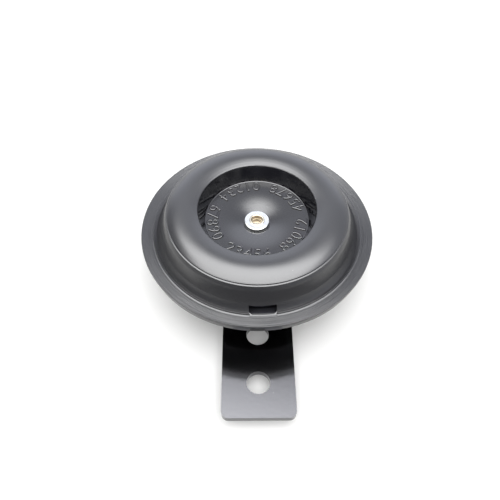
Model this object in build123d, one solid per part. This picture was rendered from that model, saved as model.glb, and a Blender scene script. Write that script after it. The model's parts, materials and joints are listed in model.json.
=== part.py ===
"""Car horn: disc horn with a moulded resonator cover, electromagnet, contact breaker and bracket.

Every piece is built about the horn's own axis, with z = 0 on the face of the cover's ring flange,
and is then moved into the part's frame: Z up, floor at z = 0, origin under the middle of the part.
Lengths are in mm and angles in degrees.
"""
import os
from math import cos, radians, sin, sqrt, tan

from build123d import *

# ---- resonator cover, from its edge inwards --------------------------------------------------------
cover_d = 70.0             # ring flange, outside
cover_wall = 0.9           # moulded wall
flange_t = 0.75            # ring flange
ring_w = 3.75              # face of the ring, out to its edge
ring_dish = 0.65           # the face falls by this much towards the step
step_h = 0.75              # outward-facing step at the ring's inner edge
step_lean = 0.12
groove_w = 1.33            # the groove falls from the step to the foot of the skirt
groove_depth = 0.5
skirt_run = 2.25           # the skirt leans in by this much up to its shoulder
shoulder_h = 5.9
shoulder_rounding = 3.5
bevel_w = 0.7              # more sloping band from the shoulder to the lip
lip_h = 7.0
ledge_w = 0.35             # narrow ledge between the lip and the crown
ledge_rise = 0.1
crown_step_w = 0.05        # short steep step from the ledge to the crown
crown_step_h = 0.3
crown_peak = 0.59          # place of the crown's peak between the recess and the crown's edge
crown_peak_h = 10.3        # height of the corner that the crown's rounding replaces
crown_fullness = 0.92      # share of the crown's shorter slope taken by that rounding
recess_rim_d = 35.0        # corner of the recess's rim before rounding
recess_rim_h = 8.5
recess_rim_r = 0.5
recess_taper = 2.0         # the recess's wall leans in by this much
recess_floor_h = 3.45      # edge of the recess's floor
dish_d = 19.0              # the floor's shallow dish gets steeper inside this
dish_h = 3.25
dish_r = 28.0
dish_depth = 1.55          # floor's edge to the washer's seat
seat_margin = 0.4          # flat round the washer
hub_d = 9.0                # boss under the dish
hub_t = 1.26
port_w = 7.6               # sound port through the foot of the skirt
port_top_h = 1.35
port_cut = 0.3             # the port's shelf ends this far into the ring's face
port_corner = 0.8
port_shelf_w = 1.3         # outer part of the port that is only a shallow shelf
port_shelf_depth = 0.45
cover_turn = 2.3           # the cover is riveted slightly turned from the bracket

# ---- centre rivet, washer and spacer ---------------------------------------------------------------
washer_d = 7.5
washer_t = 0.8
shank_d = 3.8
shank_gap = 0.05
rivet_bore_d = 3.5
rivet_bore_depth = 1.7
rivet_lip_d = 4.5
rivet_lip_h = 0.25         # stands above the washer
rivet_head_d = 6.4
rivet_head_t = 0.9

# ---- diaphragm, gasket and folded rim --------------------------------------------------------------
rim_gap = 0.85             # edge of the cover's flange to the folded rim
rim_inset = 0.6            # edge of the cover to the folded rim
rim_lip_t = 0.7
rim_lip_w = 1.9
fold_t = 1.0               # folded edge of the rim
fold_gap = 0.1             # edge of the diaphragm to the fold
diaphragm_t = 0.25
gasket_t = 0.3
gasket_w = 2.2
gasket_margin = 0.3        # gasket to the inner edge of its seat
bead_inset = 6.3           # edge of the diaphragm to the middle of its ring bead
bead_w = 1.8
bead_h = 0.35

# ---- housing ---------------------------------------------------------------------------------------
sheet = 0.8
pan_taper = 2.3            # the pan's wall leans in by this much
pan_floor_w = 9.0          # pan floor, from the wall to the coil cup
pan_floor_z = -8.4
housing_depth = 17.5       # ring face to the back of the cup
draw_r = 1.4               # outside rounding of the drawn corners

# ---- magnet ----------------------------------------------------------------------------------------
armature_d = 24.0
armature_t = 3.4
armature_boss_d = 11.0
armature_boss_h = 0.6
air_gap = 0.7
core_d = 13.0
stud_d = 6.0
stud_gap = 0.1             # stud to the housing's hole
lead_room = 1.2            # bobbin to the inside of the cup, where the leads climb
bobbin_wall = 1.0
bobbin_gap = 0.1           # bobbin to core
bobbin_top_z = -7.4
winding_inset = 0.7        # the winding stays this far inside the bobbin's flanges

# ---- contact breaker: a riveted stack on the pan floor, its arm pointing at the axis ---------------
stack_margin = 0.7         # stack to the pan's wall
stack_len = 3.4            # along the arm
stack_w = 9.0              # across the arm
insulator_t = 0.8
clamp_t = 0.8
arm_t = 0.4
arm_w = 4.0
arm_neck_w = 6.4           # round the adjuster's hole
arm_step = 2.4             # from the adjuster in to the arm's step
arm_overlap = 2.0          # the arm's tip reaches this far under the armature
arm_play = 0.06            # either side of the arm's clamped end
arm_reach_gap = 0.05       # armature to the arm's tip
strip_t = 0.6
strip_w = 6.0
strip_step = 1.7           # from the adjuster in to the strip's step
strip_past_contact = 1.8
bend_run = 0.6             # length of the arm's and the strip's slanted steps
contact_offset = 3.9       # from the adjuster in to the contacts
contact_d = 2.8
contact_t = 0.5
stack_rivet_d = 1.8
stack_rivet_pitch = 6.0
stack_rivet_head_d = 3.0
stack_rivet_head_t = 0.7
sleeve_gap = 0.3           # rivets to the live plates
tail_w = 1.4               # soldering tails of the arm and of the strip
tail_h = 1.4
adjuster_offset = 3.2      # stack's rivet line to the adjuster
adjuster_d = 2.6
adjuster_head_d = 5.0
adjuster_head_t = 1.6
adjuster_slot_w = 0.8
adjuster_reserve = 0.6     # thread left between head and bush
arm_hole_d = 3.4
bush_d = 4.6
bush_spigot_d = 3.8
bush_h = 2.6

# ---- terminals, on the far side from the bracket ---------------------------------------------------
terminal_pitch = 10.0
terminal_offset = 4.3      # coil cup to the terminals' line
block_w = 21.0
block_t = 3.0
block_cup_gap = 0.8        # coil cup to the block
block_inset = 0.1          # block to the line of the pan's wall
spigot_d = 4.0
spigot_gap = 0.1
terminal_washer_d = 6.0
terminal_washer_t = 0.6
terminal_rivet_d = 2.6
terminal_rivet_head_d = 4.4
terminal_rivet_head_t = 0.6
blade_w = 6.3
blade_t = 0.8
blade_offset = 3.2         # terminals' line to the blades
blade_foot = 5.4
blade_h = 10.3
blade_hole_d = 1.8
blade_hole_share = 0.62    # place of the hole along the blade

# ---- leads -----------------------------------------------------------------------------------------
wire_d = 0.8
wire_start_z = -10.6       # where the leads leave the winding
wire_climb = 1.2           # rise over which they reach the gap beside the bobbin
wire_turn = 0.5            # they turn outwards this far below the bobbin's top
feed_angle = 103           # where the leads leave the winding, about the axis
breaker_angle = -32
lead_tail = 2.0            # the feed lead runs this far before its rivet
lead_overlap = 1.0         # and this far past the rivet's middle
lead_lift = 0.3
breaker_lead_in = 4.6      # last bend of the breaker lead, inwards from the stack
breaker_lead_out = 2.6     # outwards past the arm's tail
breaker_lead_lift = 0.8    # and above it

# ---- bracket and its fixing ------------------------------------------------------------------------
bracket_w = 20.8
bracket_t = 2.2
bracket_reach = 53.1       # axis to the free end
bracket_corner = 2.0
bracket_round_end = 9.0    # rounding of the end behind the housing
hole_d = 6.7
outer_hole_reach = 43.0
hole_pitch = 15.1
stud_hole_d = 6.4
spring_washer_d = 10.6
spring_washer_t = 1.5
spring_washer_slit = 0.8
nut_af = 10.0
nut_h = 5.0
thread_gap = 0.03
stud_past_nut = 0.6

# ---- radii and diameters that follow, from the cover's edge inwards --------------------------------
step_foot_r = cover_d / 2 - ring_w
step_top_r = step_foot_r - step_lean
skirt_foot_r = step_top_r - groove_w
shoulder_r = skirt_foot_r - skirt_run
lip_r = shoulder_r - bevel_w
ledge_r = lip_r - ledge_w
crown_edge_r = ledge_r - crown_step_w
crown_peak_r = recess_rim_d / 2 + crown_peak * (crown_edge_r - recess_rim_d / 2)
recess_floor_r = recess_rim_d / 2 - recess_taper
port_reach = step_foot_r + port_cut
port_shelf_reach = port_reach - port_shelf_w
rim_d = cover_d - 2 * rim_inset
rim_lip_inner_d = rim_d - 2 * rim_lip_w
diaphragm_d = rim_d - 2 * (fold_t + fold_gap)
bead_d = diaphragm_d - 2 * bead_inset
pan_top_d = diaphragm_d - 2 * (gasket_w + gasket_margin)
pan_floor_d = pan_top_d - 2 * pan_taper
cup_d = pan_floor_d - 2 * pan_floor_w
bobbin_d = cup_d - 2 * (sheet + lead_room)
lead_r = (bobbin_d + lead_room) / 2

# ---- places that follow across the pan -------------------------------------------------------------
stack_x = pan_floor_d / 2 - stack_margin - stack_len / 2
adjuster_x = stack_x - adjuster_offset
arm_step_x = adjuster_x - arm_step
arm_tip_x = armature_d / 2 - arm_overlap
strip_step_x = adjuster_x - strip_step
contact_x = adjuster_x - contact_offset
strip_end_x = contact_x - strip_past_contact
block_inner_d = cup_d + 2 * block_cup_gap
block_outer_d = pan_floor_d - 2 * block_inset
terminal_y = cup_d / 2 + terminal_offset
blade_y = terminal_y + blade_offset

# ---- levels along the axis, from the ring face down ------------------------------------------------
rim_top = -flange_t - rim_gap
diaphragm_top = rim_top - rim_lip_t
diaphragm_bottom = diaphragm_top - diaphragm_t
gasket_bottom = diaphragm_bottom - gasket_t
rim_bottom = gasket_bottom - sheet
washer_seat = recess_floor_h - dish_depth
washer_top = washer_seat + washer_t
hub_bottom = washer_seat - hub_t
armature_bottom = diaphragm_bottom - armature_boss_h - armature_t
core_top = armature_bottom - air_gap
pan_back = pan_floor_z - sheet
cup_floor_z = sheet - housing_depth
bracket_back = -housing_depth - bracket_t
washer_back = bracket_back - spring_washer_t
nut_back = washer_back - nut_h
stud_end = nut_back - stud_past_nut

# ---- levels in the breaker's stack and the terminals, from the pan floor up ------------------------
arm_bottom = pan_floor_z + insulator_t + arm_play
arm_top = arm_bottom + arm_t
middle_bottom = arm_top + arm_play
strip_bottom = middle_bottom + insulator_t
strip_top = strip_bottom + strip_t
upper_top = strip_top + insulator_t
clamp_top = upper_top + clamp_t
arm_tip_top = armature_bottom - arm_reach_gap
strip_end_bottom = arm_tip_top + 2 * contact_t
block_back = pan_back - block_t
terminal_head_top = pan_floor_z + terminal_washer_t + terminal_rivet_head_t

# ---- the part's frame ------------------------------------------------------------------------------
face_height = -stud_end
axis_y = (bracket_reach - cover_d / 2) / 2


def turned(*corners):
    """A ring or disc turned about the axis from (radius, height, rounding) corners."""
    points = [(radius, height) for radius, height, _ in corners]
    roundings = [rounding for _, _, rounding in corners]
    outline = FilletPolyline(*points, radius=roundings, close=True)
    return revolve(Plane.XZ * make_face(outline), Axis.Z)


def rod(diameter, bottom, top, x=0.0, y=0.0):
    """An upright round rod between two heights."""
    return Pos(x, y, (top + bottom) / 2) * Cylinder(diameter / 2, top - bottom)


def ring(outer_d, inner_d, bottom, top):
    """A flat ring about the axis between two heights."""
    return rod(outer_d, bottom, top) - rod(inner_d, bottom, top)


def plate(x0, x1, width, z0, z1, y=0.0):
    """A rectangular plate from x0 to x1, centred on y."""
    return Pos((x0 + x1) / 2, y, (z0 + z1) / 2) * Box(x1 - x0, width, z1 - z0)


def side_cut(points, width, y=0.0):
    """A piece with this outline seen from the side (x, z), centred on y."""
    face = make_face(Polyline(*points, close=True))
    return Pos(0, y, 0) * extrude(Plane.XZ * face, width / 2, both=True)


def at_stack_rivets(shape):
    """Copies of a shape on the two rivets of the breaker's stack."""
    return [Pos(stack_x, side * stack_rivet_pitch / 2, 0) * shape for side in (-1, 1)]


def at_terminals(shape):
    """Copies of a shape on the two terminals."""
    return [Pos(side * terminal_pitch / 2, terminal_y, 0) * shape for side in (-1, 1)]


# ---- moving front ----------------------------------------------------------------------------------
def port_outline(reach, corner):
    """Plan of the sound port out to a given reach, with its outer corners cut."""
    half = port_w / 2
    return make_face(Polyline(
        (-half, -crown_peak_r),
        (half, -crown_peak_r),
        (half, corner - reach),
        (half - corner, -reach),
        (corner - half, -reach),
        (-half, corner - reach),
        close=True,
    ))


def sound_port():
    """Cutter for the port: open through the skirt's foot, then a shallow shelf in the flange."""
    low = -groove_depth - 2 * cover_wall
    shelf = -groove_depth - port_shelf_depth
    opening = extrude(Pos(0, 0, low) * port_outline(port_shelf_reach, 0.1), port_top_h - low)
    ledge = extrude(Pos(0, 0, shelf) * port_outline(port_reach, port_corner), port_top_h - shelf)
    return opening + ledge


def full_rounding(before, corner, after):
    """Radius that rounds a corner over most of the shorter of its two sides."""
    side_in = Vector(*corner) - Vector(*before)
    side_out = Vector(*after) - Vector(*corner)
    turn = radians(side_in.get_angle(side_out))
    return crown_fullness * min(side_in.length, side_out.length) / tan(turn / 2)


def resonator_cover():
    """Moulded front: ring flange, step, groove, skirt, shoulder, ledge, crown, recess and dish."""
    bore = shank_d / 2 + shank_gap
    wall = cover_wall
    edge = (crown_edge_r, lip_h + ledge_rise + crown_step_h)
    peak = (crown_peak_r, crown_peak_h)
    rim = (recess_rim_d / 2, recess_rim_h)
    edge_under = (lip_r - wall, lip_h - wall / 2)
    peak_under = (crown_peak_r, crown_peak_h - wall)
    rim_under = (recess_rim_d / 2 + wall, recess_rim_h - wall)
    shell = turned(
        (bore, washer_seat, 0),
        (washer_d / 2 + seat_margin, washer_seat, 0),
        (dish_d / 2, dish_h, dish_r),
        (recess_floor_r, recess_floor_h, 0.3),
        (*rim, recess_rim_r),
        (*peak, full_rounding(rim, peak, edge)),
        (*edge, 0.25),
        (ledge_r, lip_h + ledge_rise, 0.04),
        (lip_r, lip_h, 0.08),
        (shoulder_r, shoulder_h, shoulder_rounding),
        (skirt_foot_r, -groove_depth, 0.25),
        (step_top_r, step_h - ring_dish, 0),
        (step_foot_r, -ring_dish, 0.2),
        (cover_d / 2, 0, 0.2),
        (cover_d / 2, -flange_t, 0),
        (step_foot_r, -ring_dish - flange_t, 0),
        (skirt_foot_r - wall / 2, -groove_depth - wall, 0),
        (shoulder_r - wall, shoulder_h - wall / 4, 0),
        (*edge_under, 0),
        (*peak_under, full_rounding(edge_under, peak_under, rim_under)),
        (*rim_under, 0),
        (recess_floor_r + wall, recess_floor_h - wall, 0),
        (dish_d / 2, dish_h - wall, 0),
        (hub_d / 2, washer_seat - wall, 0),
        (hub_d / 2, hub_bottom, 0),
        (bore, hub_bottom, 0),
    )
    return Rot(0, 0, cover_turn) * (shell - sound_port())


def rivet_washer():
    """Washer with a countersunk bore for the rivet's flared lip."""
    bore = shank_d / 2 + shank_gap
    flare = rivet_lip_d / 2 + shank_gap
    return turned(
        (bore, washer_seat, 0),
        (washer_d / 2, washer_seat, 0),
        (washer_d / 2, washer_top, 0.35),
        (flare, washer_top, 0),
        (bore, washer_top - (flare - bore), 0),
    )


def centre_rivet():
    """Brass rivet with a hollow, flared end; its head sits in the armature."""
    flare = (rivet_lip_d - shank_d) / 2
    top = washer_top + rivet_lip_h
    return turned(
        (0, armature_bottom + shank_gap, 0),
        (rivet_head_d / 2, armature_bottom + shank_gap, 0),
        (rivet_head_d / 2, armature_bottom + rivet_head_t, 0),
        (shank_d / 2, armature_bottom + rivet_head_t, 0),
        (shank_d / 2, washer_top - flare, 0),
        (rivet_lip_d / 2, washer_top, 0),
        (rivet_lip_d / 2, top, 0.1),
        (rivet_bore_d / 2, top, 0.1),
        (rivet_bore_d / 2, top - rivet_bore_depth, 0),
        (0, top - rivet_bore_depth, 0),
    )


def cover_spacer():
    """Collar that carries the cover's boss above the diaphragm."""
    return ring(hub_d, shank_d + 2 * shank_gap, diaphragm_top, hub_bottom)


def armature():
    """Soft iron disc with a boss under the diaphragm and a counterbore for the rivet's head."""
    bore = shank_d / 2 + shank_gap
    sink = rivet_head_d / 2 + shank_gap
    shoulder = diaphragm_bottom - armature_boss_h
    return turned(
        (bore, diaphragm_bottom, 0),
        (armature_boss_d / 2, diaphragm_bottom, 0),
        (armature_boss_d / 2, shoulder, 0),
        (armature_d / 2, shoulder, 0.4),
        (armature_d / 2, armature_bottom, 0.4),
        (sink, armature_bottom, 0),
        (sink, armature_bottom + rivet_head_t, 0),
        (bore, armature_bottom + rivet_head_t, 0),
    )


# ---- diaphragm and housing -------------------------------------------------------------------------
def diaphragm():
    """Spring steel disc with one ring bead pressed downwards."""
    bead = bead_d / 2
    half = bead_w / 2
    bore = shank_d / 2 + shank_gap
    return turned(
        (bore, diaphragm_top, 0),
        (bead - half, diaphragm_top, 0),
        (bead, diaphragm_top - bead_h, 0),
        (bead + half, diaphragm_top, 0),
        (diaphragm_d / 2, diaphragm_top, 0),
        (diaphragm_d / 2, diaphragm_bottom, 0),
        (bead + half, diaphragm_bottom, 0),
        (bead, diaphragm_bottom - bead_h, 0),
        (bead - half, diaphragm_bottom, 0),
        (bore, diaphragm_bottom, 0),
    )


def diaphragm_gasket():
    """Fibre ring between the diaphragm and the housing's rim."""
    return ring(diaphragm_d, diaphragm_d - 2 * gasket_w, gasket_bottom, diaphragm_bottom)


def housing():
    """Drawn steel body: folded rim, shallow pan and coil cup, with the holes for what it carries."""
    inner_r = draw_r - sheet
    fold = diaphragm_d / 2 + fold_gap
    shell = turned(
        (rim_lip_inner_d / 2, rim_top, 0.2),
        (rim_d / 2, rim_top, 0.5),
        (rim_d / 2, rim_bottom, 0.5),
        (pan_top_d / 2 + sheet, rim_bottom, 0.3),
        (pan_floor_d / 2 + sheet, pan_back, draw_r),
        (cup_d / 2, pan_back, 0.3),
        (cup_d / 2, -housing_depth, draw_r),
        (stud_d / 2 + stud_gap, -housing_depth, 0),
        (stud_d / 2 + stud_gap, cup_floor_z, 0),
        (cup_d / 2 - sheet, cup_floor_z, inner_r),
        (cup_d / 2 - sheet, pan_floor_z, 1.0),
        (pan_floor_d / 2, pan_floor_z, 0.3),
        (pan_top_d / 2, gasket_bottom, 0.4),
        (fold, gasket_bottom, 0),
        (fold, diaphragm_top, 0),
        (rim_lip_inner_d / 2, diaphragm_top, 0),
    )
    through = [pan_back - sheet, pan_floor_z + sheet]
    holes = [rod(bush_spigot_d, *through, x=adjuster_x)]
    holes += at_stack_rivets(rod(stack_rivet_d, *through))
    holes += at_terminals(rod(spigot_d + 2 * spigot_gap, *through))
    return shell - holes


# ---- magnet ----------------------------------------------------------------------------------------
def pole_core():
    """Soft iron core with the threaded stud that carries the bracket."""
    return turned(
        (0, core_top, 0),
        (core_d / 2, core_top, 0.4),
        (core_d / 2, cup_floor_z, 0),
        (stud_d / 2, cup_floor_z, 0),
        (stud_d / 2, stud_end, 0.5),
        (0, stud_end, 0),
    )


def coil_bobbin():
    """Spool round the core."""
    bore = core_d / 2 + bobbin_gap
    tube = bore + bobbin_wall
    edge = bobbin_d / 2
    return turned(
        (bore, cup_floor_z, 0),
        (edge, cup_floor_z, 0),
        (edge, cup_floor_z + bobbin_wall, 0),
        (tube, cup_floor_z + bobbin_wall, 0),
        (tube, bobbin_top_z - bobbin_wall, 0),
        (edge, bobbin_top_z - bobbin_wall, 0),
        (edge, bobbin_top_z, 0),
        (bore, bobbin_top_z, 0),
    )


def coil_winding():
    """Turns of enamelled wire, as one ring between the bobbin's flanges."""
    tube_d = core_d + 2 * (bobbin_gap + bobbin_wall)
    low = cup_floor_z + bobbin_wall
    return ring(bobbin_d - 2 * winding_inset, tube_d, low, bobbin_top_z - bobbin_wall)


# ---- contact breaker -------------------------------------------------------------------------------
def stack_plate(bottom, top, rivet_hole_d, tail_side=0):
    """One plate of the riveted stack; a live one has wider holes and a soldering tail."""
    x0 = stack_x - stack_len / 2
    x1 = stack_x + stack_len / 2
    shape = plate(x0, x1, stack_w, bottom, top)
    if tail_side:
        tail_y = tail_side * (stack_w + tail_h) / 2
        shape += plate(stack_x - tail_w / 2, stack_x + tail_w / 2, tail_h, bottom, top, y=tail_y)
    return shape - at_stack_rivets(rod(rivet_hole_d, bottom, top))


def stepped_leaf(outer_x, step_x, inner_x, low, high, thickness, width):
    """A leaf that runs inwards from the stack and steps up once."""
    foot_x = step_x + bend_run
    return side_cut(
        [
            (outer_x, low),
            (outer_x, low + thickness),
            (foot_x, low + thickness),
            (step_x, high + thickness),
            (inner_x, high + thickness),
            (inner_x, high),
            (step_x, high),
            (foot_x, low),
        ],
        width,
    )


def breaker_arm():
    """Spring arm: clamped end, neck with the adjuster's hole, and a leaf that ends under the armature."""
    x0 = stack_x - stack_len / 2
    root = stack_plate(arm_bottom, arm_top, stack_rivet_d + 2 * sleeve_gap, tail_side=-1)
    neck = plate(arm_step_x + bend_run, x0, arm_neck_w, arm_bottom, arm_top)
    leaf = stepped_leaf(x0, arm_step_x, arm_tip_x, arm_bottom, arm_tip_top - arm_t, arm_t, arm_w)
    return root + neck + leaf - rod(arm_hole_d, arm_bottom, arm_top, x=adjuster_x)


def contact_strip():
    """Stiff strip that holds the fixed contact over the arm; the adjuster bears under it."""
    x0 = stack_x - stack_len / 2
    root = stack_plate(strip_bottom, strip_top, stack_rivet_d + 2 * sleeve_gap, tail_side=1)
    strip = stepped_leaf(x0, strip_step_x, strip_end_x, strip_bottom, strip_end_bottom, strip_t, strip_w)
    return root + strip


def moving_contact():
    """Contact button on the arm."""
    return rod(contact_d, arm_tip_top, arm_tip_top + contact_t, x=contact_x)


def fixed_contact():
    """Contact button under the strip."""
    return rod(contact_d, arm_tip_top + contact_t, strip_end_bottom, x=contact_x)


def insulator(bottom):
    """Fibre plate of the stack."""
    return stack_plate(bottom, bottom + insulator_t, stack_rivet_d)


def breaker_clamp():
    """Steel plate on top of the stack."""
    return stack_plate(upper_top, clamp_top, stack_rivet_d)


def breaker_rivets():
    """Two rivets that hold the stack on the pan floor."""
    rivet = rod(stack_rivet_d, pan_back, clamp_top)
    rivet += rod(stack_rivet_head_d, pan_back - stack_rivet_head_t, pan_back)
    rivet += rod(stack_rivet_head_d, clamp_top, clamp_top + stack_rivet_head_t)
    return Compound(at_stack_rivets(rivet))


def adjuster_bush():
    """Threaded bush riveted in the pan floor."""
    bush = rod(bush_d, pan_back - bush_h, pan_back, x=adjuster_x)
    bush += rod(bush_spigot_d, pan_back, pan_floor_z, x=adjuster_x)
    return bush - rod(adjuster_d + 2 * thread_gap, pan_back - bush_h, pan_floor_z, x=adjuster_x)


def adjusting_screw():
    """Slotted screw that sets the fixed contact from behind."""
    head_top = pan_back - bush_h - adjuster_reserve
    head_bottom = head_top - adjuster_head_t
    screw = rod(adjuster_d, head_top, strip_bottom, x=adjuster_x)
    screw += rod(adjuster_head_d, head_bottom, head_top, x=adjuster_x)
    slot_top = head_bottom + adjuster_head_t / 2
    x0 = adjuster_x - adjuster_head_d
    x1 = adjuster_x + adjuster_head_d
    return screw - plate(x0, x1, adjuster_slot_w, head_bottom, slot_top)


# ---- terminals and leads ---------------------------------------------------------------------------
def terminal_block():
    """Moulded block under the pan, with a spigot through the pan for each terminal rivet."""
    block = ring(block_outer_d, block_inner_d, block_back, pan_back)
    block &= plate(-block_w / 2, block_w / 2, block_w, block_back, pan_back, y=block_outer_d / 2)
    block += at_terminals(rod(spigot_d, pan_back, pan_floor_z))
    return block - at_terminals(rod(terminal_rivet_d, block_back, pan_floor_z))


def terminal_blade(side):
    """Blade terminal: a riveted foot under the block, bent down into a push-on blade."""
    x = side * terminal_pitch / 2
    outer = blade_y + blade_t
    profile = FilletPolyline(
        (outer - blade_foot - blade_t, block_back),
        (outer, block_back),
        (outer, block_back - blade_h),
        (blade_y, block_back - blade_h),
        (blade_y, block_back - blade_t),
        (outer - blade_foot - blade_t, block_back - blade_t),
        radius=(0, blade_t, 0, 0, 0.2, 0),
        close=True,
    )
    blade = Pos(x, 0, 0) * extrude(Plane.YZ * make_face(profile), blade_w / 2, both=True)
    blade -= rod(terminal_rivet_d, block_back - blade_t, block_back, x=x, y=terminal_y)
    tip = blade.edges().filter_by(Axis.Y).sort_by(Axis.Z)[:2]
    blade = chamfer(tip, 1.2)
    hole = Pos(x, blade_y, block_back - blade_hole_share * blade_h) * Rot(90, 0, 0)
    return blade - hole * Cylinder(blade_hole_d / 2, 4 * blade_t)


def terminal_washers():
    """Two fibre washers on the pan floor."""
    washer = rod(terminal_washer_d, pan_floor_z, pan_floor_z + terminal_washer_t)
    washer -= rod(terminal_rivet_d, pan_floor_z, pan_floor_z + terminal_washer_t)
    return Compound(at_terminals(washer))


def terminal_rivets():
    """Two rivets that carry current from the blades through the block and the pan."""
    head_bottom = block_back - blade_t - terminal_rivet_head_t
    rivet = rod(terminal_rivet_d, head_bottom, terminal_head_top)
    rivet += rod(terminal_rivet_head_d, head_bottom, block_back - blade_t)
    rivet += rod(terminal_rivet_head_d, pan_floor_z + terminal_washer_t, terminal_head_top)
    return Compound(at_terminals(rivet))


def lead(*points):
    """A wire along a smooth line through the points."""
    line = Spline(*points)
    section = Plane(origin=line @ 0, z_dir=line % 0) * Circle(wire_d / 2)
    return sweep(section, path=line)


def from_winding(angle):
    """First points of a lead: off the winding, then up between the bobbin's flange and the cup."""
    start = bobbin_d / 2 - winding_inset + wire_d / 4
    c = cos(radians(angle))
    s = sin(radians(angle))
    return [
        (start * c, start * s, wire_start_z),
        (lead_r * c, lead_r * s, wire_start_z + wire_climb),
        (lead_r * c, lead_r * s, bobbin_top_z - wire_turn),
    ]


def feed_lead():
    """From the start of the winding to the feed terminal."""
    x = -terminal_pitch / 2
    z = terminal_head_top + wire_d / 2
    before = (x, terminal_y - lead_tail, z + lead_lift)
    return lead(*from_winding(feed_angle), before, (x, terminal_y + lead_overlap, z))


def breaker_lead():
    """From the end of the winding to the arm's tail."""
    z = (arm_bottom + arm_top) / 2
    y = -stack_w / 2 - tail_h - wire_d / 4
    bend = (stack_x - breaker_lead_in, y - breaker_lead_out, z + breaker_lead_lift)
    return lead(*from_winding(breaker_angle), bend, (stack_x, y, z))


def switch_lead():
    """From the switch terminal round the pan to the strip's tail."""
    z = terminal_head_top + wire_d / 2
    end_z = (strip_bottom + strip_top) / 2
    r = (cup_d + pan_floor_d) / 4
    steps = [(r * cos(radians(a)), r * sin(radians(a)), end_z) for a in (62, 44, 26)]
    start = (terminal_pitch / 2, terminal_y, z)
    return lead(start, *steps, (stack_x, stack_w / 2 + tail_h + wire_d / 4, end_z))


# ---- bracket and its fixing ------------------------------------------------------------------------
def bracket():
    """Flat steel strip with two fixing holes and the stud hole."""
    half = bracket_w / 2
    outline = FilletPolyline(
        (-half, half),
        (-half, -bracket_reach),
        (half, -bracket_reach),
        (half, half),
        radius=(bracket_round_end, bracket_corner, bracket_corner, bracket_round_end),
        close=True,
    )
    strip = extrude(Pos(0, 0, bracket_back) * make_face(outline), bracket_t)
    strip -= rod(stud_hole_d, bracket_back, -housing_depth)
    for reach in (outer_hole_reach, outer_hole_reach - hole_pitch):
        strip -= rod(hole_d, bracket_back, -housing_depth, y=-reach)
    return strip


def bracket_washer():
    """Split spring washer."""
    washer = ring(spring_washer_d, stud_d + 2 * stud_gap, washer_back, bracket_back)
    slit = Rot(20, 0, 0) * Box(spring_washer_d, spring_washer_slit, 3 * spring_washer_t)
    return washer - Pos(spring_washer_d / 2, 0, (washer_back + bracket_back) / 2) * slit


def bracket_nut():
    """Hexagon nut with chamfered corners."""
    corner = nut_af / sqrt(3)
    blank = extrude(Pos(0, 0, nut_back) * RegularPolygon(corner, 6), nut_h)
    dressed = turned(
        (0, nut_back, 0),
        (nut_af / 2, nut_back, 0),
        (corner, nut_back + 0.5, 0),
        (corner, washer_back - 0.5, 0),
        (nut_af / 2, washer_back, 0),
        (0, washer_back, 0),
    )
    return (blank & dressed) - rod(stud_d + 2 * thread_gap, nut_back, washer_back)


pieces = {
    "resonator_cover": resonator_cover(),
    "rivet_washer": rivet_washer(),
    "centre_rivet": centre_rivet(),
    "cover_spacer": cover_spacer(),
    "diaphragm": diaphragm(),
    "diaphragm_gasket": diaphragm_gasket(),
    "housing": housing(),
    "armature": armature(),
    "pole_core": pole_core(),
    "coil_bobbin": coil_bobbin(),
    "coil_winding": coil_winding(),
    "feed_lead": feed_lead(),
    "breaker_lead": breaker_lead(),
    "switch_lead": switch_lead(),
    "breaker_arm": breaker_arm(),
    "moving_contact": moving_contact(),
    "fixed_contact": fixed_contact(),
    "contact_strip": contact_strip(),
    "insulator_lower": insulator(pan_floor_z),
    "insulator_middle": insulator(middle_bottom),
    "insulator_upper": insulator(strip_top),
    "breaker_clamp": breaker_clamp(),
    "breaker_rivets": breaker_rivets(),
    "adjuster_bush": adjuster_bush(),
    "adjusting_screw": adjusting_screw(),
    "terminal_block": terminal_block(),
    "terminal_blade_feed": terminal_blade(-1),
    "terminal_blade_switch": terminal_blade(1),
    "terminal_washers": terminal_washers(),
    "terminal_rivets": terminal_rivets(),
    "bracket": bracket(),
    "bracket_washer": bracket_washer(),
    "bracket_nut": bracket_nut(),
}

os.makedirs("parts", exist_ok=True)
for node, piece in pieces.items():
    export_step(Pos(0, axis_y, face_height) * piece, f"parts/{node}.step")
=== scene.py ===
"""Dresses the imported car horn: finishes, small moulded forms, table, lights and camera.

Lengths are in metres, or in millimetres where a function says so.
"""
import json
from math import cos, pi, radians, sin, sqrt

import bmesh
import bpy
from mathutils import Matrix, Vector


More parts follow.
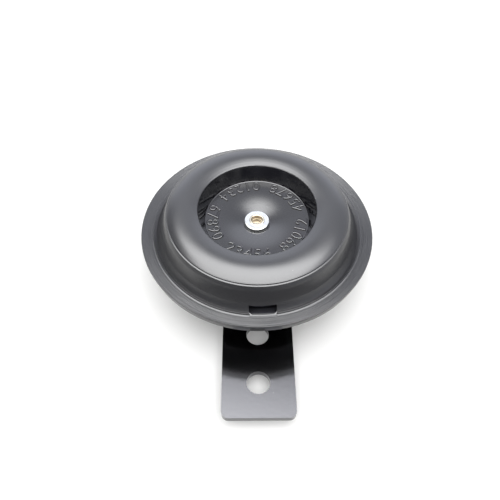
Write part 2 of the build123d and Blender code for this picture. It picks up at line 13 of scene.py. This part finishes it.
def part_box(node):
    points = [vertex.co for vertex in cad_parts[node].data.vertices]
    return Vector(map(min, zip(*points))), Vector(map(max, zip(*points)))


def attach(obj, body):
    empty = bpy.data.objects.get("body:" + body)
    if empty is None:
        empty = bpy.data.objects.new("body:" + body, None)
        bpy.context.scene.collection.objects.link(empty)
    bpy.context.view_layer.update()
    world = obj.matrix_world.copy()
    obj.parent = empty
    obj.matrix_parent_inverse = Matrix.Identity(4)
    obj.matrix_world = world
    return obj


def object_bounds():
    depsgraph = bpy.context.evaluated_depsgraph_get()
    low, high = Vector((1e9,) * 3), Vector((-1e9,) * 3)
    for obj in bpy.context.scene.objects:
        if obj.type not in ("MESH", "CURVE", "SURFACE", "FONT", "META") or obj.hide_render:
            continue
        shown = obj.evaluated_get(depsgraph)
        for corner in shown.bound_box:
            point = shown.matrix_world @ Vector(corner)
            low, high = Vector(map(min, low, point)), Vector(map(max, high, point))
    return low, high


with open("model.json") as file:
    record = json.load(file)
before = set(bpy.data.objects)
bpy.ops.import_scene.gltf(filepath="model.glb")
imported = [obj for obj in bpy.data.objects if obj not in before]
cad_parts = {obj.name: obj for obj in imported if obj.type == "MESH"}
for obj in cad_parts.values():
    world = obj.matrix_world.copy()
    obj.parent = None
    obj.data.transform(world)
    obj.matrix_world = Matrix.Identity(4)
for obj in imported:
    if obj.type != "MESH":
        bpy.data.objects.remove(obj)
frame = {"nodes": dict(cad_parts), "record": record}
cad_low, cad_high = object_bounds()
nodes = frame["nodes"]
mm = 0.001

# ---- places on the horn --------------------------------------------------------------------------
washer_low, washer_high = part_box("rivet_washer")
rivet_top_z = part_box("centre_rivet")[1].z
axis_x = (washer_low.x + washer_high.x) / 2
axis_y = (washer_low.y + washer_high.y) / 2
washer_shade_top_z = washer_high.z - 0.3 * mm    # the washer's side gets painted shade up to here
rivet_bore_depth = 1.7 * mm
ring_z = cad_low.z + 26.8 * mm              # outer edge of the cover's flat ring
ring_outer_r = 35.0 * mm
ring_inner_r = 31.3 * mm
ring_dish = 0.65 * mm                       # what the ring falls by, inwards over the dish's width
ring_dish_width = 3.75 * mm
recess_edge_z = ring_z + 3.45 * mm          # outer edge of the recess floor
recess_slope = 0.0333                       # the recess floor falls towards the washer
recess_floor_r = 15.5 * mm
recess_rim_r = 17.2 * mm
port_w = 7.6 * mm
port_top_z = ring_z + 1.35 * mm
port_turn = radians(2.3)
blend = 0.1 * mm                            # one finish passes into the next over about this
near_black = (0.004, 0.004, 0.006)

# ---- moulded numbers -----------------------------------------------------------------------------
number_places = 30
number_group = 6                            # the last place of each group is blank
number_size = 4.9 * mm
number_foot_r = 14.95 * mm

# ---- lights --------------------------------------------------------------------------------------
key_level = 2.5
key_size = 0.62
key_place = (0.01, -0.28, 0.92)
softbox_level = 7.0
softbox_size = (2.5, 2.0)
softbox_place = (-0.10, -0.48, 0.93)
softbox_turn = radians(-13)
# each side of the softbox: dark at its edge, full from the second place inwards
softbox_fades = (("X", 0.0, 0.14), ("X", 1.0, 0.86), ("Y", 1.0, 0.80), ("Y", 0.0, 0.35))
room_level = 0.72                           # plain light from all round
room_tone = (1, 1, 0.98, 1)
wall_tone = (0.925, 0.955, 1.06, 1)
wall_levels = (0.20, 1.05)                  # dim side, pale side
wall_reach = (-0.6, 0.5)                    # where the change starts and ends, as a cosine
pale_side = (0.62, 0.78, 0)
panel_level = 0.95                          # a panel behind the horn, added to the walls
panel_reach = (0.64, 0.80)                  # where it starts and is full, as a cosine

# ---- camera --------------------------------------------------------------------------------------
camera_place = (-3.045 * mm, -94.532 * mm, 150.639 * mm)
camera_ahead = (0.005805, 0.605743, -0.795639)
camera_roll = radians(0.126)
camera_lens = 38.07                         # in millimetres, as the sensor's width is
camera_sensor = 36.0


# ---- node trees ----------------------------------------------------------------------------------
class Nodes:
    """A node tree built up from short calls."""

    def __init__(self, tree):
        self.tree = tree

    def put(self, socket, value):
        """Sets a socket to a number, a tuple or another node's output."""
        if isinstance(value, bpy.types.NodeSocket):
            self.tree.links.new(value, socket)
        else:
            socket.default_value = value

    def source(self, kind, output):
        """An output of a node that needs no inputs."""
        return self.tree.nodes.new(kind).outputs[output]

    def maths(self, operation, a, b=0.0):
        node = self.tree.nodes.new("ShaderNodeMath")
        node.operation = operation
        self.put(node.inputs[0], a)
        self.put(node.inputs[1], b)
        return node.outputs[0]

    def vector(self, operation, a, b, output="Vector"):
        node = self.tree.nodes.new("ShaderNodeVectorMath")
        node.operation = operation
        self.put(node.inputs[0], a)
        self.put(node.inputs[1], b)
        return node.outputs[output]

    def joined(self, x, y, z):
        node = self.tree.nodes.new("ShaderNodeCombineXYZ")
        self.put(node.inputs[0], x)
        self.put(node.inputs[1], y)
        self.put(node.inputs[2], z)
        return node.outputs[0]

    def split(self, vector):
        node = self.tree.nodes.new("ShaderNodeSeparateXYZ")
        self.put(node.inputs[0], vector)
        return node.outputs

    def mapped(self, value, low, high, to_low=0.0, to_high=1.0):
        """A smooth step of a value between two limits."""
        node = self.tree.nodes.new("ShaderNodeMapRange")
        node.interpolation_type = "SMOOTHSTEP"
        self.put(node.inputs["Value"], value)
        node.inputs["From Min"].default_value = low
        node.inputs["From Max"].default_value = high
        node.inputs["To Min"].default_value = to_low
        node.inputs["To Max"].default_value = to_high
        return node.outputs["Result"]

    def mixed(self, amount, a, b):
        """A number that goes from a to b with the amount."""
        node = self.tree.nodes.new("ShaderNodeMix")
        self.put(node.inputs["Factor"], amount)
        self.put(node.inputs[2], a)
        self.put(node.inputs[3], b)
        return node.outputs[0]

    def mixed_colour(self, amount, a, b):
        """A colour that goes from a to b with the amount."""
        node = self.tree.nodes.new("ShaderNodeMix")
        node.data_type = "RGBA"
        self.put(node.inputs["Factor"], amount)
        self.put(node.inputs[6], a)
        self.put(node.inputs[7], b)
        return node.outputs[2]


class Finish(Nodes):
    """One material. Its coordinates are the part's own."""

    def __init__(self, name, colour, roughness, metallic=0.0, specular=0.5):
        self.material = bpy.data.materials.new(name)
        self.material.use_nodes = True
        super().__init__(self.material.node_tree)
        self.shader = self.tree.nodes["Principled BSDF"]
        self.shader.inputs["Base Color"].default_value = (*colour, 1)
        self.shader.inputs["Roughness"].default_value = roughness
        self.shader.inputs["Metallic"].default_value = metallic
        self.shader.inputs["IOR"].default_value = 1.5
        self.shader.inputs["Specular IOR Level"].default_value = specular
        self.place = self.source("ShaderNodeTexCoord", "Object")

    def noise(self, size, detail=2.0, roughness=0.5, place=None):
        """Noise whose features are about this size."""
        node = self.tree.nodes.new("ShaderNodeTexNoise")
        self.put(node.inputs["Vector"], self.place if place is None else place)
        node.inputs["Scale"].default_value = 1 / size
        node.inputs["Detail"].default_value = detail
        node.inputs["Roughness"].default_value = roughness
        return node.outputs["Fac"]

    def cells(self, size):
        """Distance to the nearest of scattered points, in cell sizes."""
        node = self.tree.nodes.new("ShaderNodeTexVoronoi")
        self.put(node.inputs["Vector"], self.place)
        node.inputs["Scale"].default_value = 1 / size
        return node.outputs["Distance"]

    def tint(self, amount, colour):
        """Lays a colour over the base colour by an amount."""
        base = self.shader.inputs["Base Color"]
        under = base.links[0].from_socket if base.links else tuple(base.default_value)
        self.put(base, self.mixed_colour(amount, under, (*colour, 1)))

    def rougher(self, amount, roughness):
        """Moves the roughness towards a value by an amount."""
        socket = self.shader.inputs["Roughness"]
        under = socket.links[0].from_socket if socket.links else socket.default_value
        self.put(socket, self.mixed(amount, under, roughness))

    def bump(self, height, depth):
        """Adds relief of this depth over what is there."""
        node = self.tree.nodes.new("ShaderNodeBump")
        node.inputs["Distance"].default_value = depth
        node.inputs["Strength"].default_value = 1.0
        self.put(node.inputs["Height"], height)
        normal = self.shader.inputs["Normal"]
        if normal.links:
            self.put(node.inputs["Normal"], normal.links[0].from_socket)
        self.put(normal, node.outputs["Normal"])

    def about_axis(self):
        """(radius from the horn's axis, angle about it, height)."""
        x, y, z = self.split(self.vector("SUBTRACT", self.place, (axis_x, axis_y, 0)))
        squares = self.maths("ADD", self.maths("MULTIPLY", x, x), self.maths("MULTIPLY", y, y))
        return self.maths("SQRT", squares), self.maths("ARCTAN2", y, x), z

    def dust(self, spacing, size):
        """Sparse pale specks."""
        near = self.mapped(self.cells(spacing), size / spacing, 0.4 * size / spacing)
        some = self.mapped(self.noise(4 * spacing, 0), 0.5, 0.55)
        speck = self.maths("MULTIPLY", near, some)
        self.tint(speck, (0.45, 0.45, 0.44))
        self.rougher(speck, 0.8)


# ---- finishes ------------------------------------------------------------------------------------
def cover_plastic():
    """Satin black moulding: a turned ring, a polished recess wall and a smoother recess floor."""
    satin, cloudy, smoother, polished = 0.29, 0.36, 0.21, 0.10
    finish = Finish("cover_plastic", near_black, satin, specular=1.0)
    r, angle, z = finish.about_axis()
    finish.rougher(finish.noise(6 * mm, 3), cloudy)
    finish.bump(finish.noise(0.5 * mm, 2), 0.004 * mm)
    # turned lines are noise that is squeezed across the ring and drawn out round it
    across = finish.maths("MULTIPLY", r, 4.5)
    along = finish.maths("MULTIPLY", angle, 0.6 * mm)
    lines = finish.noise(1.0 * mm, 4, 0.7, finish.joined(across, along, 0))
    ring_low_z = ring_z - ring_dish - 0.05 * mm
    on_ring = finish.maths(
        "MULTIPLY",
        finish.mapped(r, ring_inner_r, ring_inner_r + blend),
        finish.mapped(z, ring_low_z - blend, ring_low_z),
    )
    finish.bump(finish.maths("MULTIPLY", lines, on_ring), 0.10 * mm)
    on_wall = finish.maths(
        "MULTIPLY",
        finish.mapped(r, recess_floor_r - blend, recess_floor_r + blend),
        finish.mapped(r, recess_rim_r + 3 * blend, recess_rim_r),
    )
    finish.rougher(on_wall, polished)
    on_floor = finish.mapped(r, recess_floor_r, recess_floor_r - blend)
    finish.rougher(on_floor, smoother)
    finish.dust(3.2 * mm, 0.09 * mm)
    return finish.material


def glossy_coat(name, colour, roughness, peel, **more):
    """A glossy coat with orange peel of this depth and a few specks."""
    finish = Finish(name, colour, roughness, **more)
    finish.rougher(finish.noise(5 * mm, 3), roughness + 0.05)
    finish.bump(finish.noise(1.3 * mm, 1), peel)
    finish.dust(3.5 * mm, 0.10 * mm)
    return finish.material


def body_paint():
    """Black stoving paint."""
    return glossy_coat("body_paint", near_black, 0.16, 0.010 * mm, specular=1.0)


def bracket_plating():
    """Dark plated steel."""
    return glossy_coat("bracket_paint", (0.095, 0.095, 0.10), 0.12, 0.006 * mm, metallic=1.0)


def metal_finish(name, colour, roughness, stain=(0.5, 0.5, 0.5)):
    """Plated or bare metal with fine grain and faint uneven tone."""
    finish = Finish(name, colour, roughness, metallic=1.0)
    patches = finish.mapped(finish.noise(1.6 * mm, 4, 0.6), 0.45, 0.75, 0, 0.25)
    finish.tint(patches, stain)
    finish.rougher(finish.noise(0.6 * mm, 3), roughness + 0.15)
    finish.bump(finish.noise(0.25 * mm, 3, 0.6), 0.006 * mm)
    return finish


def metal(*values, **more):
    return metal_finish(*values, **more).material


def darkened_walls(finish, low, high, colour):
    """Painted shade: darkens the upright walls between two heights."""
    z = finish.split(finish.place)[2]
    facing_up = finish.split(finish.source("ShaderNodeNewGeometry", "Normal"))[2]
    wall = finish.mapped(finish.maths("ABSOLUTE", facing_up), 0.75, 0.35)
    above = finish.mapped(z, low, low + blend)
    below = finish.mapped(z, high, high - blend)
    between = finish.maths("MULTIPLY", above, below)
    finish.tint(finish.maths("MULTIPLY", wall, between), colour)


def zinc():
    """Bright zinc, with painted shade on the side of the front washer."""
    finish = metal_finish("zinc_plate", (0.86, 0.87, 0.86), 0.09)
    # painted shade: the side of the front washer is darkened to near black
    darkened_walls(finish, washer_low.z - 0.2 * mm, washer_shade_top_z, (0.05, 0.05, 0.05))
    return finish.material


def pale_brass():
    """Pale brass with painted shade on the wall of its bore."""
    finish = metal_finish("rivet_brass", (0.66, 0.61, 0.50), 0.14, stain=(0.60, 0.53, 0.42))
    floor_z = rivet_top_z - rivet_bore_depth
    # painted shade: the upright wall of the rivet's bore is darkened
    darkened_walls(finish, floor_z, rivet_top_z - 0.2 * mm, (0.07, 0.055, 0.04))
    return finish.material


def plain(name, colour, roughness, mottle, grain=0.4 * mm, depth=0.01 * mm):
    """Moulding, fibre or enamel with a mottled tone and fine grain."""
    finish = Finish(name, colour, roughness)
    finish.tint(finish.noise(1.5 * mm, 4, 0.6), mottle)
    finish.rougher(finish.noise(0.9 * mm, 3), roughness + 0.15)
    finish.bump(finish.noise(grain, 3, 0.6), depth)
    return finish.material


def wound_copper():
    """Enamelled wire laid in turns round the bobbin."""
    wire_r = 0.16 * mm
    finish = Finish("coil_copper", (0.50, 0.17, 0.06), 0.3, metallic=1.0)
    turns = finish.maths("PINGPONG", finish.split(finish.place)[2], wire_r)
    finish.bump(finish.maths("MULTIPLY", turns, 1 / wire_r), 0.12 * mm)
    finish.tint(finish.noise(1.2 * mm, 3), (0.36, 0.10, 0.04))
    return finish.material


def finishes():
    """The finish of each material slot."""
    return {
        "cover_plastic": cover_plastic(),
        "body_paint": body_paint(),
        "bracket_paint": bracket_plating(),
        "zinc_plate": zinc(),
        "rivet_brass": pale_brass(),
        "spring_steel": metal("spring_steel", (0.05, 0.05, 0.06), 0.40, stain=(0.08, 0.08, 0.09)),
        "soft_iron": metal("soft_iron", (0.50, 0.50, 0.50), 0.38),
        "bobbin_plastic": plain("bobbin_plastic", (0.80, 0.77, 0.68), 0.45, (0.72, 0.68, 0.58)),
        "coil_copper": wound_copper(),
        "lead_enamel": plain("lead_enamel", (0.42, 0.13, 0.05), 0.25, (0.30, 0.08, 0.03)),
        "contact_silver": metal("contact_silver", (0.82, 0.82, 0.80), 0.22),
        "spring_bronze": metal("spring_bronze", (0.70, 0.44, 0.22), 0.26, stain=(0.45, 0.26, 0.12)),
        "fibre": plain("fibre", (0.34, 0.17, 0.08), 0.6, (0.24, 0.11, 0.05), 0.2 * mm, 0.02 * mm),
        "terminal_brass": metal("terminal_brass", (0.78, 0.72, 0.56), 0.27),
        "terminal_plastic": plain("terminal_plastic", (0.02, 0.02, 0.02), 0.42, (0.03, 0.03, 0.03)),
    }


def dress_nodes(made):
    """Gives each CAD node the finish of its slot."""
    slot_of = {part["node"]: part["material_slot"] for part in frame["record"]["subparts"]}
    for name, node in nodes.items():
        node.data.materials.clear()
        node.data.materials.append(made[slot_of[name]])


# ---- new objects ---------------------------------------------------------------------------------
def placed(name, data):
    """A new object in the scene."""
    thing = bpy.data.objects.new(name, data)
    bpy.context.scene.collection.objects.link(thing)
    return thing


def solid(name, points, faces):
    """An object of closed shapes, welded and with its faces turned outwards."""
    mesh = bpy.data.meshes.new(name)
    mesh.from_pydata(points, [], faces)
    shape = bmesh.new()
    shape.from_mesh(mesh)
    bmesh.ops.remove_doubles(shape, verts=shape.verts, dist=1e-7)
    bmesh.ops.recalc_face_normals(shape, faces=shape.faces)
    shape.to_mesh(mesh)
    shape.free()
    return placed(name, mesh)


def skinned(name, sections, round_trip):
    """A solid through outlines with as many points each, in a closed round or with end caps."""
    size = len(sections[0])
    points = [point for section in sections for point in section]
    faces = []
    for i in range(len(sections) if round_trip else len(sections) - 1):
        here, after = i * size, (i + 1) * size % len(points)
        for j in range(size):
            k = (j + 1) % size
            faces.append((here + j, after + j, after + k, here + k))
    if not round_trip:
        faces += [tuple(range(size)), tuple(range(len(points) - size, len(points)))]
    return solid(name, points, faces)


# ---- moulded numbers on the recess floor ---------------------------------------------------------
def raised_digit(digit, angle):
    """A figure raised from the recess floor at an angle about the axis, its foot outwards."""
    text = bpy.data.curves.new("number", "FONT")
    text.body = str(digit)
    text.size = number_size
    text.align_x = "CENTER"
    text.resolution_u = 3
    text.offset = -0.09 * mm
    text.extrude = 0.14 * mm
    text.bevel_depth = 0.20 * mm
    text.bevel_resolution = 1
    figure = placed("number", text)
    figure.rotation_euler = (0, 0, angle + pi / 2)
    figure.location = (
        axis_x + number_foot_r * cos(angle),
        axis_y + number_foot_r * sin(angle),
        recess_edge_z - (recess_floor_r - number_foot_r) * recess_slope,
    )
    return figure


def moulded_numbers():
    """A plain ring of raised figures, in groups."""
    figures = []
    for i in range(number_places):
        if i % number_group < number_group - 1:
            figures.append(raised_digit(i % 10, radians(90 + i * 360 / number_places)))
    bpy.context.view_layer.update()
    points = []
    faces = []
    for figure in figures:
        mesh = bpy.data.meshes.new_from_object(figure)
        mesh.transform(figure.matrix_world)
        start = len(points)
        points += [vertex.co.copy() for vertex in mesh.vertices]
        faces += [[start + index for index in polygon.vertices] for polygon in mesh.polygons]
        bpy.data.meshes.remove(mesh)
        bpy.data.objects.remove(figure)
    return solid("moulded_numbers", points, faces)


# ---- edges of the groove, the ring and the port --------------------------------------------------
def bezier(start, towards, back, end, count=14):
    """Points of a cubic curve."""
    points = []
    for i in range(count + 1):
        t = i / count
        weights = ((1 - t) ** 3, 3 * t * (1 - t) ** 2, 3 * t * t * (1 - t), t ** 3)
        points.append(tuple(
            sum(weight * point[axis] for weight, point in zip(weights, (start, towards, back, end)))
            for axis in (0, 1)
        ))
    return points


def turned_ring(name, outline, count=360):
    """A ring from an outline of (radius, height above the ring's outer edge) in millimetres."""
    sections = []
    for i in range(count):
        angle = 2 * pi * i / count
        sections.append([
            (axis_x + r * mm * cos(angle), axis_y + r * mm * sin(angle), ring_z + z * mm)
            for r, z in outline
        ])
    return skinned(name, sections, round_trip=True)


def by_port(across, out):
    """The (x, y) this far across the port and this far out from the axis."""
    return (
        axis_x + out * sin(port_turn) + across * cos(port_turn),
        axis_y + across * sin(port_turn) - out * cos(port_turn),
    )


def open_at_port(ring):
    """Cuts the sound port through a ring."""
    length, height, middle_r = 8 * mm, 6 * mm, 31 * mm
    bpy.ops.mesh.primitive_cube_add(size=1)
    block = bpy.context.object
    block.scale = (port_w, length, height)
    block.rotation_euler = (0, 0, port_turn)
    block.location = (*by_port(0, middle_r), port_top_z - height / 2)
    cut = ring.modifiers.new("port", "BOOLEAN")
    cut.operation = "DIFFERENCE"
    cut.solver = "EXACT"
    cut.object = block
    bpy.context.view_layer.update()
    whole = ring.evaluated_get(bpy.context.evaluated_depsgraph_get())
    mesh = bpy.data.meshes.new_from_object(whole)
    ring.modifiers.clear()
    old = ring.data
    ring.data = mesh
    bpy.data.meshes.remove(old)
    bpy.data.objects.remove(block)


def smooth(ring):
    """Smooth shading, with sharp corners kept."""
    for polygon in ring.data.polygons:
        polygon.use_smooth = True
    ring.data.set_sharp_from_angle(angle=radians(35))


def skirt_foot():
    """The flared foot of the skirt, down to the bottom of the groove. In millimetres."""
    flare = bezier((28.0, 4.5), (28.55, 2.4), (29.3, 1.0), (30.38, -0.24))
    return turned_ring("skirt_foot", flare + [(29.6, -1.0), (27.6, 4.4)])


def groove_lip():
    """The raised edge between the groove and the ring, with a soft foot. In millimetres."""
    top = bezier((30.95, -0.08), (31.05, 0.14), (31.20, 0.16), (31.22, -0.05), 8)
    foot = bezier((31.24, -0.14), (31.27, -0.42), (31.42, -0.58), (31.85, -0.57))
    return turned_ring("groove_lip", top + foot + [(31.7, -0.9), (31.0, -0.9)])


def ring_face():
    """Turned ridges on the dished ring, of uneven height. In millimetres."""
    inner, outer, pitch = 31.8, 34.85, 0.12
    valley, ridge = 0.006, 0.027
    face = []
    for i in range(round((outer - inner) / pitch) + 1):
        r = inner + i * pitch
        low = (r - ring_outer_r / mm) * ring_dish / ring_dish_width + valley
        uneven = 1 + 0.22 * sin(5.1 * i) + 0.18 * sin(2.3 * i)
        face.append((r, low))
        face.append((r + pitch / 2, low + ridge * uneven))
    return turned_ring("ring_face", face + [(outer, -0.4), (inner, -0.9)])


def port_sill():
    """The flange's edge under the port, with its two corners cut off. In millimetres."""
    half, corner = 3.9, 0.95
    edge_r, crest_r, back_r = 31.1, 31.5, 31.95
    edge_z, crest_z, back_z, foot_z = -0.40, -0.52, -0.515, -1.1
    set_back, rise = 0.68, 0.25     # of the edge, for each millimetre cut off a corner
    sections = []
    for across in (-half, corner - half, -1.5, 0, 1.5, half - corner, half):
        cut = max(0, abs(across) - half + corner)
        front_r = edge_r - set_back * cut
        outline = (
            (front_r, edge_z + rise * cut),
            (crest_r, crest_z),
            (back_r, back_z),
            (back_r, foot_z),
            (front_r, foot_z),
        )
        sections.append([
            (*by_port(across * mm, sqrt(r * r - across * across) * mm), ring_z + z * mm)
            for r, z in outline
        ])
    return skinned("port_sill", sections, round_trip=False)


# ---- table, lights and camera --------------------------------------------------------------------
def matt_sheet(name, place, size, colour):
    """A level sheet without gloss."""
    bpy.ops.mesh.primitive_plane_add(size=1, location=place)
    sheet = bpy.context.object
    sheet.name = name
    sheet.scale = (*size, 1)
    material = bpy.data.materials.new(name)
    material.use_nodes = True
    shader = material.node_tree.nodes["Principled BSDF"]
    shader.inputs["Base Color"].default_value = (*colour, 1)
    shader.inputs["Roughness"].default_value = 1.0
    shader.inputs["Specular IOR Level"].default_value = 0.0
    sheet.data.materials.append(material)
    return sheet


def floor():
    """A plain white table."""
    size, colour = (6, 6), (0.92, 0.92, 0.92)
    plane = matt_sheet("floor", (0, 0, cad_low.z), size, colour)


def flag():
    """A grey card on the table before the horn, seen only in reflections."""
    place = (0, -0.30, cad_low.z + 0.2 * mm)
    size, colour = (0.24, 0.50), (0.20, 0.20, 0.21)
    card = matt_sheet("flag", place, size, colour)
    card.visible_camera = False
    card.visible_diffuse = False
    card.visible_shadow = False


def key_light():
    """The light that the table gets: soft, from above."""
    light = bpy.data.lights.new("key", "AREA")
    light.shape = "SQUARE"
    light.size = key_size
    light.energy = key_level * pi
    lamp = placed("key", light)
    lamp.location = key_place
    lamp.rotation_euler = Vector(key_place).to_track_quat("Z", "Y").to_euler()
    lamp.visible_camera = False
    lamp.visible_glossy = False


def softbox():
    """A wide softbox overhead, out over the camera's side and soft at its edges; only for gloss."""
    light = bpy.data.lights.new("softbox", "AREA")
    light.shape = "RECTANGLE"
    light.size, light.size_y = softbox_size
    light.energy = softbox_level * pi * light.size * light.size_y
    light.use_nodes = True
    tree = Nodes(light.node_tree)
    place = tree.split(tree.source("ShaderNodeNewGeometry", "Parametric"))
    strength = 1.0
    for axis, dark, bright in softbox_fades:
        strength = tree.maths("MULTIPLY", tree.mapped(place[axis], dark, bright), strength)
    tree.put(light.node_tree.nodes["Emission"].inputs["Strength"], strength)
    lamp = placed("softbox", light)
    lamp.location = softbox_place
    lamp.rotation_euler = (0, 0, softbox_turn)
    lamp.visible_camera = False
    lamp.visible_diffuse = False


def surroundings():
    """Plain light from all round; gloss shows studio walls, pale behind and on the right."""
    world = bpy.data.worlds.new("studio")
    world.use_nodes = True
    bpy.context.scene.world = world
    tree = Nodes(world.node_tree)
    place = tree.source("ShaderNodeTexCoord", "Generated")
    towards_pale = tree.vector("DOT_PRODUCT", place, pale_side, "Value")
    walls = tree.mapped(towards_pale, *wall_reach, *wall_levels)
    panel = tree.mapped(tree.split(place)["Y"], *panel_reach, 0.0, panel_level)
    in_gloss = tree.source("ShaderNodeLightPath", "Is Glossy Ray")
    level = tree.mixed(in_gloss, room_level, tree.maths("ADD", walls, panel))
    tone = tree.mixed_colour(in_gloss, room_tone, wall_tone)
    backdrop = world.node_tree.nodes["Background"]
    tree.put(backdrop.inputs["Strength"], level)
    tree.put(backdrop.inputs["Color"], tone)


def camera():
    """A camera at 53 degrees above the table, a little left of the middle."""
    data = bpy.data.cameras.new("camera")
    data.sensor_width = camera_sensor
    data.lens = camera_lens
    data.clip_start = 0.01
    data.clip_end = 50
    aim = Vector(camera_ahead).to_track_quat("-Z", "Y").to_matrix()
    turn = aim @ Matrix.Rotation(camera_roll, 3, "Z")
    eye = placed("camera", data)
    eye.matrix_world = Matrix.Translation(camera_place) @ turn.to_4x4()
    bpy.context.scene.camera = eye


# ---- the scene -----------------------------------------------------------------------------------
made = finishes()
dress_nodes(made)
numbers = moulded_numbers()
numbers.data.materials.append(made["cover_plastic"])
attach(numbers, "front")
edges = [skirt_foot(), groove_lip()]
for edge in edges:
    open_at_port(edge)
    smooth(edge)
for edge in edges + [ring_face(), port_sill()]:
    edge.data.materials.clear()
    edge.data.materials.append(made["cover_plastic"])
    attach(edge, "front")
floor()
flag()
surroundings()
softbox()
key_light()
camera()
bpy.context.scene.view_settings.view_transform = "Standard"
